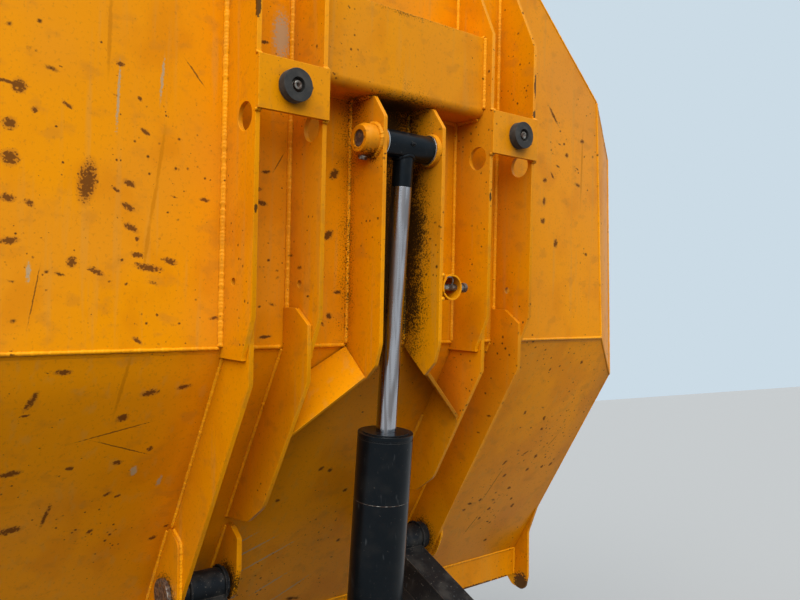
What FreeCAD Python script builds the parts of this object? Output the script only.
import FreeCAD, Part
import math
import os

os.makedirs("parts", exist_ok=True)

V = FreeCAD.Vector

# The skip is drawn in its own frame: u to the right, v up along the floor's underside from the
# fold line, w out of the underside. The cradle is drawn in x, y, z. All sizes are millimetres.
TIP_DEG = 80.0
HINGE_Y = 250.0
HINGE_Z = 640.0
HINGE_V = -696.0
HINGE_W = -306.0

# Shell
FLOOR_T = 8.0
SIDE_T = 6.0
FLOOR_HALF = 1043.0
CHINE_RUN = 175.0
CHINE_DROP = 92.0
CHINE_TAPER = 0.036
RIM_W = -620.0
REAR_V = 1250.0
REAR_SLOPE = 0.16
FRONT_SLOPE = 0.575
LIP_RISE = 73.75
LIP_LEN = 116.0
LIP_T = 12.0
CORNER_RUN_U = 505.0
CORNER_RUN_V = 450.0
CORNER_SLOPE = 0.30
RIM_OUT = 50.0
RIM_DROP = 60.0
CHEEK_T = 12.0

# Underside frame
RIB_T = 12.0
RIB_INNER = 297.0
RIB_PITCH = 183.0
RIB_DEEP = 147.0
RIB_SHORT = 25.0
RIB_TAPER = 320.0
RIB_FOOT = 23.0
PLATE_DEEP = 118.0
PLATE_NORMAL = 142.0
PLATE_TOP = 101.0
PLATE_END = 150.0
PLATE_BEVEL = 41.0
HOLE_V = 547.0
HOLE_W = 97.0
HOLE_R = 34.0
SMALL_V = 161.0
SMALL_W = 56.0
SMALL_R = 10.0
EAR_T = 12.0
EAR_OUT = 109.0
EAR_DEEP = 148.0
EAR_TIP = 85.0
EAR_TIP_W = 91.0
EAR_TOP = 59.0
BRACE_T = 10.0
BRACE_DOWN = 151.0
LUG_PROUD = 4.0
BOX_CLEAR = 121.0
BOX_LEN = 233.0
BOX_W = 118.0
BOX_T = 8.0
BOX_R = 26.0
BRACKET_V = 619.5
BRACKET_LEN = 125.0
BRACKET_T = 12.0
BUFFER_SHIFT = 7.5
BUFFER_R = 39.0
BUFFER_T = 26.0
RECESS_R = 18.0
RECESS_DEEP = 12.0

# Pins and ram
EYE_V = 543.0
EYE_W = 100.0
EYE_R = 38.0
EYE_HALF = 80.0
EYE_SLACK = 1.0
RAM_PIN_R = 22.5
PIN_PROUD = 5.0
BOSS_R = 42.0
BOSS_LEN = 31.0
BOSS_NOSE = 15.0
BOSS_TIP_R = 35.0
BOSS_SINK = 3.5
RING_GAP = 5.0
ROD_R = 28.0
BARREL_R = 77.5
BARREL_WALL = 12.0
RAM_LEAN = 0.070
FOOT_V = -1050.0
GLAND_BACK = 786.0
GLAND_LEN = 75.0
GLAND_PROUD = 3.0
GROOVE = 4.0
GROOVE_DEEP = 1.5
GROOVE_BACK = 16.0
PISTON = 50.0
PISTON_STOP = 5.0
PISTON_GAP = 0.5
NECK = 110.0
FOOT_PIN_R = 25.0
FOOT_EYE_R = 46.0
FOOT_EYE_HALF = 46.0
FOOT_LUG_R = 50.0
FOOT_LUG_T = 18.0
FOOT_GAP = 51.0
HINGE_PIN_R = 25.0
PIN_HEAD_R = 47.0
PIN_HEAD_T = 12.0
PIN_PAST = 6.0
RUN = 0.10

# Stowed locking pin
STOW_V = 164.0
STOW_W = 150.0
STOW_R = 36.0
STOW_WALL = 5.0
STOW_LEN = 80.0
STOW_PIN_R = 10.0
STOW_PIN_DOWN = 23.0
STOW_PIN_LEN = 92.0
STOW_PIN_IN = 28.0
STOW_HEAD_R = 14.0
STOW_HEAD_T = 12.0

# Cradle
ARM_CLEAR_IN = 19.0
ARM_CLEAR_OUT = 36.0
ARM_DROP = 5.0
ARM_SLOPE = 0.646
ARM_DEEP = 115.0
ARM_FRONT = 20.0
ARM_BACK = 560.0
HUB_R = 45.0
HUB_GAP = 5.0
LEG_Y = 90.0
LEG_TOE = 50.0
POST_Y = 90.0
RAIL_Z = 120.0
RAIL_BACK = 20.0
RAIL_FRONT = 50.0
TUBE_T = 8.0
CROSS_Y = 160.0
CROSS_REAR_Y = 100.0
SEAT_HOLE_R = 9.0
SEAT_HOLE_BACK = 50.0
SEAT_HOLE_FRONT = 60.0

WALL_HALF = FLOOR_HALF + CHINE_RUN
FRONT_V = (RIM_W + LIP_RISE) / FRONT_SLOPE
CORNER_V = REAR_V - CORNER_RUN_V
BOX_V0 = EYE_V + BOX_CLEAR
ROD_IN = GLAND_LEN + PISTON + PISTON_STOP
FOOT_W = EYE_W - (EYE_V - FOOT_V) * RAM_LEAN
RIB_OUTER = RIB_INNER + RIB_PITCH
LUG_OUT = RIB_INNER + LUG_PROUD
PLATE_IN = RIB_OUTER - 2 * RIB_T
ARM_IN = LUG_OUT + ARM_CLEAR_IN
ARM_OUT = PLATE_IN - ARM_CLEAR_OUT

TILT = FreeCAD.Placement(V(0, 0, 0), FreeCAD.Rotation(V(1, 0, 0), 180.0 - TIP_DEG))
SHIFT = V(0, HINGE_Y, HINGE_Z).sub(TILT.multVec(V(0, HINGE_V, HINGE_W)))
TO_WORLD = FreeCAD.Placement(SHIFT, TILT.Rotation)
BIG = 8000.0

FRONT_ANGLE = math.atan(FRONT_SLOPE)
SN = math.sin(FRONT_ANGLE)
CS = math.cos(FRONT_ANGLE)


def world(v, w, u=0.0):
    return TO_WORLD.multVec(V(u, v, w))


FOOT = world(FOOT_V, FOOT_W)
EYE = world(EYE_V, EYE_W)
RAM_DIR = EYE.sub(FOOT)
RAM_LEN = RAM_DIR.Length
RAM_DIR.normalize()


def rounded(points):
    """A closed wire through points; each corner is (point, radius)."""
    edges = []
    ends = []
    count = len(points)
    for i in range(count):
        p, r = points[i]
        if r <= 0:
            ends.append((p, p))
            continue
        a = points[i - 1][0].sub(p)
        b = points[(i + 1) % count][0].sub(p)
        a.normalize()
        b.normalize()
        half = a.getAngle(b) / 2.0
        reach = r / math.tan(half)
        middle = a.add(b)
        middle.normalize()
        start = p.add(V(a).multiply(reach))
        stop = p.add(V(b).multiply(reach))
        mid = p.add(middle.multiply(r / math.sin(half) - r))
        edges.append(Part.Arc(start, mid, stop).toShape())
        ends.append((start, stop))
    for i in range(count):
        start = ends[i - 1][1]
        stop = ends[i][0]
        if start.distanceToPoint(stop) > 0.001:
            edges.append(Part.makeLine(start, stop))
    return Part.Wire(Part.__sortEdges__(edges))


def plate_u(outline, u0, u1):
    """A plate across u from an outline of (v, w) or (v, w, corner radius) rows."""
    wire = rounded([(V(u0, row[0], row[1]), row[2] if len(row) > 2 else 0.0) for row in outline])
    return Part.Face(wire).extrude(V(u1 - u0, 0, 0))


# A plate across X is drawn the same way, from (y, z) rows
plate_x = plate_u


def bar_u(v, w, r, u0, u1):
    """A round bar across u, or across X from a (y, z) centre."""
    return Part.makeCylinder(r, abs(u1 - u0), V(min(u0, u1), v, w), V(1, 0, 0))


bar_x = bar_u


def box(x0, x1, y0, y1, z0, z1):
    return Part.makeBox(x1 - x0, y1 - y0, z1 - z0, V(x0, y0, z0))


def flip(shape):
    """The same shape on the other side of the centre plane."""
    return shape.mirror(V(0, 0, 0), V(1, 0, 0))


def save(node, shape, local=True):
    out = shape.copy()
    if local:
        out.Placement = TO_WORLD.multiply(out.Placement)
    solids = out.Solids
    if len(solids) == 1:
        out = solids[0]
    out.exportStep("parts/" + node + ".step")


def half_space(point, normal):
    """A big block on the inner side of a plane: the normal points out of it."""
    n = V(normal)
    n.normalize()
    block = Part.makeBox(BIG, BIG, BIG, V(-BIG / 2, -BIG / 2, -BIG))
    spin = FreeCAD.Rotation(V(0, 0, 1), n)
    block.Placement = FreeCAD.Placement(V(point), spin)
    return block


# Load space planes: name, point (u, v, w), outward normal (u, v, w), thickness
corner_n = V(CORNER_RUN_V, CORNER_RUN_U, 0)
corner_n.normalize()
corner_n = corner_n.add(V(0, 0, CORNER_SLOPE))
chine_n = V(CHINE_DROP, CHINE_TAPER * CHINE_RUN, CHINE_RUN)
PLANES = [
    ("floor_panel", V(0, 0, 0), V(0, 0, 1), FLOOR_T),
    ("front_panel", V(0, 0, 0), V(0, -SN, CS), FLOOR_T),
    ("rear_wall", V(0, REAR_V, 0), V(0, 1, REAR_SLOPE), SIDE_T),
    ("chine_r", V(FLOOR_HALF, 0, 0), chine_n, SIDE_T),
    ("chine_l", V(-FLOOR_HALF, 0, 0), V(-chine_n.x, chine_n.y, chine_n.z), SIDE_T),
    ("side_wall_r", V(WALL_HALF, 0, 0), V(1, 0, 0), SIDE_T),
    ("side_wall_l", V(-WALL_HALF, 0, 0), V(-1, 0, 0), SIDE_T),
    ("corner_wall_r", V(FLOOR_HALF, CORNER_V, 0), corner_n, SIDE_T),
    ("corner_wall_l", V(-FLOOR_HALF, CORNER_V, 0), V(-corner_n.x, corner_n.y, corner_n.z), SIDE_T),
]


def trough(grow, w_low, w_high):
    """The closed tub outline, every plane moved out by grow, between two levels of w."""
    body = box(-BIG / 3, BIG / 3, FRONT_V, BIG / 3, w_low, w_high)
    for name, point, normal, thick in PLANES:
        n = V(normal)
        n.normalize()
        body = body.common(half_space(point.add(n.multiply(grow)), normal))
    return body


tub = trough(0.0, RIM_W, FLOOR_T)
taken = None
for name, point, normal, thick in PLANES:
    n = V(normal)
    n.normalize()
    inner = half_space(point.sub(n.multiply(thick)), normal)
    panel = tub.cut(inner)
    if taken is None:
        taken = panel
        save(name, panel)
    else:
        save(name, panel.cut(taken))
        taken = taken.fuse(panel)

# Folded rim around the top edge: a flat flange and a hanging skirt
rim_top = RIM_W + RIM_DROP
rim_outer = trough(RIM_OUT, RIM_W, rim_top)
rim_mid = trough(RIM_OUT - SIDE_T, RIM_W - 1, rim_top + 1)
rim_in = trough(0.0, RIM_W - 1, rim_top + 1)
skirt = rim_outer.cut(rim_mid)
flange = trough(RIM_OUT - SIDE_T, RIM_W, RIM_W + SIDE_T).cut(rim_in)
rim = skirt.fuse(flange)
side_zone = box(WALL_HALF - CHINE_RUN, BIG / 3, FRONT_V - 10, CORNER_V, RIM_W - 10, rim_top + 10)
side_rim = rim.common(side_zone)
save("rim_side_r", side_rim)
save("rim_side_l", flip(side_rim))
save("rim_rear", rim.cut(side_zone).cut(flip(side_zone)))

# Discharge lip, and the cheek plates that end beside it in a rounded nose
# Rows from the lip's inner corner: v, w, corner radius
NOSE = [(85, 73, 90), (-104, 77, 50), (-173, 62, 32), (-160, -12, 25)]
CHEEK_RUN = 210.0
CHEEK_END = 96.0
lip_w = FRONT_V * FRONT_SLOPE
lip_end = FRONT_V - LIP_LEN
lip = plate_u([(FRONT_V, lip_w), (lip_end, lip_w), (lip_end, lip_w - LIP_T),
               (FRONT_V, lip_w - LIP_T)], -WALL_HALF + CHEEK_T, WALL_HALF - CHEEK_T)
save("lip_strip", lip)
cheek_rows = [(FRONT_V, lip_w), (FRONT_V + CHEEK_RUN, lip_w + CHEEK_RUN * FRONT_SLOPE)]
cheek_rows += [(FRONT_V + dv, lip_w + dw, r) for dv, dw, r in NOSE]
cheek_rows += [(FRONT_V - CHEEK_END, RIM_W, 20), (FRONT_V, RIM_W)]
cheek = plate_u(cheek_rows, WALL_HALF - CHEEK_T, WALL_HALF)
save("cheek_r", cheek)
save("cheek_l", flip(cheek))

# Rib plates: one pair each side, with a large and a small hole
rib_end = REAR_V - RIB_SHORT
rib_outline = [(rib_end, 0), (rib_end - RIB_TAPER, RIB_DEEP), (80, RIB_DEEP), (-10, 105),
               (-RIB_FOOT, 105), (-RIB_FOOT, -RIB_FOOT * FRONT_SLOPE), (0, 0)]
hole = bar_u(HOLE_V, HOLE_W, HOLE_R, -RIB_OUTER - 1, RIB_OUTER + 1)
small = bar_u(SMALL_V, SMALL_W, SMALL_R, -RIB_OUTER - 1, RIB_OUTER + 1)
RIBS = [
    ("rib_outer_l", -RIB_OUTER, -RIB_OUTER + RIB_T),
    ("rib_inner_l", -RIB_INNER, -RIB_INNER + RIB_T),
    ("rib_inner_r", RIB_INNER - RIB_T, RIB_INNER),
    ("rib_outer_r", RIB_OUTER - RIB_T, RIB_OUTER),
]
for node, u0, u1 in RIBS:
    save(node, plate_u(rib_outline, u0, u1).cut(hole).cut(small))


def front_w(v, depth=0.0):
    """w of a line parallel to the front panel at a normal depth."""
    return v * FRONT_SLOPE + depth / CS


# Hinge plates along the front panel; the inner one bends in above its lug, and the outer one
# carries a doubler round the pin
# Rows from the hinge pin: v, depth from the front panel, corner radius
BEND = [(261, 142, 60), (205, 100, 40), (191, 0, 0)]
knee = (PLATE_DEEP - PLATE_NORMAL / CS) / FRONT_SLOPE
head_rows = [(0, 0), (PLATE_TOP, 0), (PLATE_TOP, 58), (PLATE_TOP - PLATE_BEVEL, PLATE_DEEP),
             (knee, PLATE_DEEP)]
end = HINGE_V - PLATE_END
outer_rows = head_rows + [(end + 20, front_w(end + 20, PLATE_NORMAL), 70), (end, front_w(end))]
inner_rows = head_rows + [(HINGE_V + dv, front_w(HINGE_V + dv, depth), r) for dv, depth, r in BEND]
hinge_bore = bar_u(HINGE_V, HINGE_W, HINGE_PIN_R, 1, RIB_OUTER + 1)
outer_plate = plate_u(outer_rows, PLATE_IN, PLATE_IN + RIB_T)
inner_plate = plate_u(inner_rows, RIB_INNER, RIB_INNER + RIB_T)
save("hinge_plate_inner_r", inner_plate)
save("hinge_plate_inner_l", flip(inner_plate))


def hinge_rows(table):
    """Rows measured from the hinge pin, closed down onto the front panel."""
    rows = [(HINGE_V + dv, HINGE_W + dw, r) for dv, dw, r in table]
    rows.append((rows[-1][0], front_w(rows[-1][0])))
    rows.append((rows[0][0], front_w(rows[0][0])))
    return rows


# Rows from the hinge pin: v, w, corner radius
DOUBLER = [(186, 26, 0), (160, 78, 28), (10, 80, 40), (-62, 50, 40), (-76, -10, 0)]
LUG = [(167, 30, 0), (140, 69, 14), (48, 70, 40), (-38, 42, 36), (-58, -14, 0)]
doubler = plate_u(hinge_rows(DOUBLER), RIB_OUTER - RIB_T, RIB_OUTER)
outer_plate = outer_plate.fuse(doubler).cut(hinge_bore).removeSplitter()
save("hinge_plate_outer_r", outer_plate)
save("hinge_plate_outer_l", flip(outer_plate))
lug = plate_u(hinge_rows(LUG), RIB_INNER - RIB_T, LUG_OUT).cut(hinge_bore)
save("hinge_lug_r", lug)
save("hinge_lug_l", flip(lug))

# Ears for the ram's rod eye, with inner boss rings; the left one has an outer boss
ear_in = EAR_OUT - EAR_T
ring_in = EYE_HALF + RING_GAP
ear_rows = [(0, 0), (BOX_V0, 0), (BOX_V0, EYE_W - 8), (BOX_V0 - 4, EYE_W + 4),
            (EYE_V + EAR_TOP, EAR_DEEP, 14), (8, EAR_DEEP, 60), (-48, EAR_DEEP - 18, 20),
            (-EAR_TIP, EAR_TIP_W), (-9, 0)]
ear = plate_u(ear_rows, ear_in, EAR_OUT)
ear = ear.fuse(bar_u(EYE_V, EYE_W, BOSS_R, ring_in, ear_in))
boss_end = EAR_OUT + BOSS_LEN + BOSS_NOSE
boss = bar_u(EYE_V, EYE_W, BOSS_R, EAR_OUT, EAR_OUT + BOSS_LEN)
nose = Part.makeCone(BOSS_R, BOSS_TIP_R, BOSS_NOSE, V(EAR_OUT + BOSS_LEN, EYE_V, EYE_W), V(1, 0, 0))
eye_hole = bar_u(EYE_V, EYE_W, RAM_PIN_R, 1, boss_end + 1)
save("ear_r", ear.cut(eye_hole).removeSplitter())
save("ear_l", flip(ear.fuse(boss).fuse(nose).cut(eye_hole).removeSplitter()))
pin_r = bar_u(EYE_V, EYE_W, RAM_PIN_R, ring_in, EAR_OUT + PIN_PROUD)
pin_l = bar_u(EYE_V, EYE_W, RAM_PIN_R, ring_in, boss_end - BOSS_SINK)
save("ram_pin", Part.Compound([pin_r, flip(pin_l)]))

# Braces from the ears' feet to the inner hinge plates, standing on the front panel
foot_point = V(EAR_OUT, -9, 0)
tip_point = V(EAR_OUT, -EAR_TIP, EAR_TIP_W)
end_v = -EAR_TIP - BRACE_DOWN
end_point = V(RIB_INNER, end_v, front_w(end_v, PLATE_NORMAL - 6))
brace_n = tip_point.sub(foot_point).cross(end_point.sub(foot_point))
brace_n.normalize()
over = end_point.sub(foot_point)
rise = brace_n.y + brace_n.z * FRONT_SLOPE
heel_v = (-brace_n.x * over.x + brace_n.y * foot_point.y + brace_n.z * foot_point.z) / rise
heel_point = V(RIB_INNER, heel_v, front_w(heel_v))
sheet = Part.Face(rounded([(p, 0) for p in (foot_point, tip_point, end_point, heel_point)]))
inward = brace_n.multiply(BRACE_T if brace_n.y > 0 else -BRACE_T)
brace = sheet.extrude(inward)
brace = brace.common(box(EAR_OUT, RIB_INNER, -BIG / 3, 0, -BIG / 3, BIG / 3))
brace = brace.cut(half_space(V(0, 0, 0), V(0, -SN, CS)))
save("ear_brace_r", brace)
save("ear_brace_l", flip(brace))

# Cross box between the inner ribs, rounded along its lower edge
u_in = RIB_INNER - RIB_T
box_v1 = BOX_V0 + BOX_LEN
box_outer = plate_u([(BOX_V0, 0), (BOX_V0, BOX_W, BOX_R), (box_v1, BOX_W), (box_v1, 0)], -u_in, u_in)
box_inner = plate_u([(BOX_V0 + BOX_T, -1), (BOX_V0 + BOX_T, BOX_W - BOX_T, BOX_R - BOX_T),
                     (box_v1 - BOX_T, BOX_W - BOX_T), (box_v1 - BOX_T, -1)], -u_in, u_in)
save("cross_box", box_outer.cut(box_inner))

# Buffer plates and rubber buffers
plate_in = RIB_INNER - RIB_T
buffer_u = (plate_in + RIB_OUTER) / 2 + BUFFER_SHIFT
b0 = RIB_DEEP + BRACKET_T
b1 = b0 + BUFFER_T
bracket = box(plate_in, RIB_OUTER, BRACKET_V - BRACKET_LEN / 2, BRACKET_V + BRACKET_LEN / 2,
              RIB_DEEP, b0)
recess = Part.makeCylinder(RECESS_R, RECESS_DEEP, V(buffer_u, BRACKET_V, b1 - RECESS_DEEP))
rubber = Part.makeCylinder(BUFFER_R, BUFFER_T, V(buffer_u, BRACKET_V, b0)).cut(recess)
save("buffer_plate_r", bracket)
save("buffer_plate_l", flip(bracket))
save("buffers", Part.Compound([rubber, flip(rubber)]))

# Hinge pins, fixed in the skip's plates
pin = bar_u(HINGE_V, HINGE_W, HINGE_PIN_R, RIB_INNER - RIB_T - PIN_PAST, RIB_OUTER)
pin = pin.fuse(bar_u(HINGE_V, HINGE_W, PIN_HEAD_R, RIB_OUTER, RIB_OUTER + PIN_HEAD_T))
pin = pin.removeSplitter()
save("hinge_pins", Part.Compound([pin, flip(pin)]))

# Short pipe beside the right ear, with the stowed locking pin through it
stow_u = EAR_OUT + STOW_R - 1
pipe = Part.makeCylinder(STOW_R, STOW_LEN, V(stow_u, STOW_V, STOW_W - STOW_LEN))
pipe = pipe.cut(Part.makeCylinder(STOW_R - STOW_WALL, STOW_LEN, V(stow_u, STOW_V, STOW_W - STOW_LEN)))
pipe = pipe.common(box(EAR_OUT, EAR_OUT + 3 * STOW_R, STOW_V - STOW_R, STOW_V + STOW_R, 0, STOW_W))
pin_w = STOW_W - STOW_PIN_DOWN
stow_pin = bar_u(STOW_V, pin_w, STOW_PIN_R, stow_u - STOW_PIN_IN, EAR_OUT + STOW_PIN_LEN)
stow_end = EAR_OUT + STOW_PIN_LEN
save("stow_tube", pipe.cut(stow_pin))
stow_pin = stow_pin.fuse(bar_u(STOW_V, pin_w, STOW_HEAD_R, stow_end, stow_end + STOW_HEAD_T))
save("stow_pin", stow_pin.removeSplitter())


# Ram: barrel with foot eye and gland, rod with cross-tube eye
def along_ram(start, length, r):
    base = FOOT.add(V(RAM_DIR).multiply(start))
    return Part.makeCylinder(r, length, base, RAM_DIR)


gland = RAM_LEN - GLAND_BACK
bore_r = BARREL_R - BARREL_WALL
tube_start = FOOT_EYE_R + 14
foot_eye = bar_x(FOOT.y, FOOT.z, FOOT_EYE_R, -FOOT_EYE_HALF, FOOT_EYE_HALF)
foot_neck = along_ram(FOOT_EYE_R / 2, tube_start - FOOT_EYE_R / 2, FOOT_EYE_HALF - 4)
foot_bore = bar_x(FOOT.y, FOOT.z, FOOT_PIN_R + RUN, -FOOT_EYE_HALF - 1, FOOT_EYE_HALF + 1)
tube = along_ram(tube_start, gland - tube_start, BARREL_R)
tube = tube.cut(along_ram(tube_start + 25, gland, bore_r))
ring = along_ram(gland - GROOVE_BACK, GROOVE, BARREL_R + 1)
tube = tube.cut(ring.cut(along_ram(gland - GROOVE_BACK, GROOVE, BARREL_R - GROOVE_DEEP)))
tube = tube.fuse(foot_neck).fuse(foot_eye).removeSplitter().cut(foot_bore)
save("barrel_tube", tube, False)
head = along_ram(gland - GLAND_LEN, GLAND_LEN + GLAND_PROUD, bore_r)
head = head.cut(along_ram(gland - GLAND_LEN - 1, GLAND_LEN + GLAND_PROUD + 2, ROD_R + RUN))
save("barrel_gland", head, False)

rod = along_ram(gland - ROD_IN, ROD_IN + GLAND_BACK - NECK, ROD_R)
piston = along_ram(gland - ROD_IN, PISTON, bore_r - PISTON_GAP)
save("rod_shaft", rod.fuse(piston).removeSplitter(), False)
neck = along_ram(RAM_LEN - NECK, NECK, ROD_R)
eye_tube = bar_x(EYE.y, EYE.z, EYE_R, -EYE_HALF, EYE_HALF)
eye_bore = bar_x(EYE.y, EYE.z, RAM_PIN_R + EYE_SLACK, -EYE_HALF - 1, EYE_HALF + 1)
save("rod_eye", eye_tube.fuse(neck).removeSplitter().cut(eye_bore), False)


# Cradle: two side frames, two cross tubes and the ram's foot clevis
def arm_top(y):
    """z of the arm's top face at a distance y behind the hinge."""
    return HINGE_Z - ARM_DROP - ARM_SLOPE * y


arm_rows = [(HINGE_Y + ARM_FRONT, arm_top(-ARM_FRONT)), (HINGE_Y - ARM_BACK, arm_top(ARM_BACK)),
            (HINGE_Y - ARM_BACK, arm_top(ARM_BACK) - ARM_DEEP),
            (HINGE_Y + ARM_FRONT, arm_top(-ARM_FRONT) - ARM_DEEP)]
hub = bar_x(HINGE_Y, HINGE_Z, HUB_R, LUG_OUT + HUB_GAP, PLATE_IN - HUB_GAP)
hub_bore = bar_x(HINGE_Y, HINGE_Z, HINGE_PIN_R + RUN, RIB_INNER, RIB_OUTER)
arm = plate_x(arm_rows, ARM_IN, ARM_OUT).fuse(hub).cut(hub_bore).removeSplitter()
save("arm_r", arm, False)
save("arm_l", flip(arm), False)
leg_rows = [(HINGE_Y + ARM_FRONT, arm_top(-ARM_FRONT) - ARM_DEEP),
            (HINGE_Y - LEG_Y, arm_top(LEG_Y) - ARM_DEEP), (HINGE_Y - LEG_Y, RAIL_Z),
            (HINGE_Y + LEG_TOE, RAIL_Z)]
leg = plate_x(leg_rows, ARM_IN, ARM_OUT).cut(arm)
save("leg_r", leg, False)
save("leg_l", flip(leg), False)
post_back = HINGE_Y - ARM_BACK
post_rows = [(post_back, RAIL_Z), (post_back, arm_top(ARM_BACK) - ARM_DEEP),
             (post_back + POST_Y, arm_top(ARM_BACK - POST_Y) - ARM_DEEP), (post_back + POST_Y, RAIL_Z)]
post = plate_x(post_rows, ARM_IN, ARM_OUT).cut(arm)
save("post_r", post, False)
save("post_l", flip(post), False)

rail_y0 = post_back - RAIL_BACK
rail_y1 = HINGE_Y + RAIL_FRONT
rail = box(ARM_IN, ARM_OUT, rail_y0, rail_y1, 0, RAIL_Z)
rail = rail.cut(box(ARM_IN + TUBE_T, ARM_OUT - TUBE_T, rail_y0 - 1, rail_y1 + 1, TUBE_T,
                    RAIL_Z - TUBE_T))
for y in (rail_y0 + SEAT_HOLE_BACK, rail_y1 - SEAT_HOLE_FRONT):
    rail = rail.cut(Part.makeCylinder(SEAT_HOLE_R, 4 * TUBE_T, V((ARM_IN + ARM_OUT) / 2, y, -TUBE_T)))
save("rail_r", rail, False)
save("rail_l", flip(rail), False)
CROSS = [
    ("cross_tube_front", FOOT.y - CROSS_Y / 2, FOOT.y + CROSS_Y / 2),
    ("cross_tube_rear", rail_y0 + RAIL_BACK, rail_y0 + RAIL_BACK + CROSS_REAR_Y),
]
for node, y0, y1 in CROSS:
    tube = box(-ARM_IN, ARM_IN, y0, y1, 0, RAIL_Z)
    hollow = box(-ARM_IN - 1, ARM_IN + 1, y0 + TUBE_T, y1 - TUBE_T, TUBE_T, RAIL_Z - TUBE_T)
    save(node, tube.cut(hollow), False)
lug_end = FOOT_GAP + FOOT_LUG_T
lug_rows = []
for side in (-1, 1):
    rows = [(FOOT.y + side * FOOT_LUG_R, RAIL_Z), (FOOT.y + side * FOOT_LUG_R, FOOT.z + FOOT_LUG_R / 2),
            (FOOT.y + side * FOOT_LUG_R / 2, FOOT.z + FOOT_LUG_R)]
    lug_rows += rows if side < 0 else rows[::-1]
foot_lug = plate_x(lug_rows, FOOT_GAP, lug_end)
foot_pin = bar_x(FOOT.y, FOOT.z, FOOT_PIN_R, -lug_end - PIN_PAST, lug_end + PIN_PAST)
save("foot_clevis", foot_lug.fuse(flip(foot_lug)).fuse(foot_pin).removeSplitter(), False)
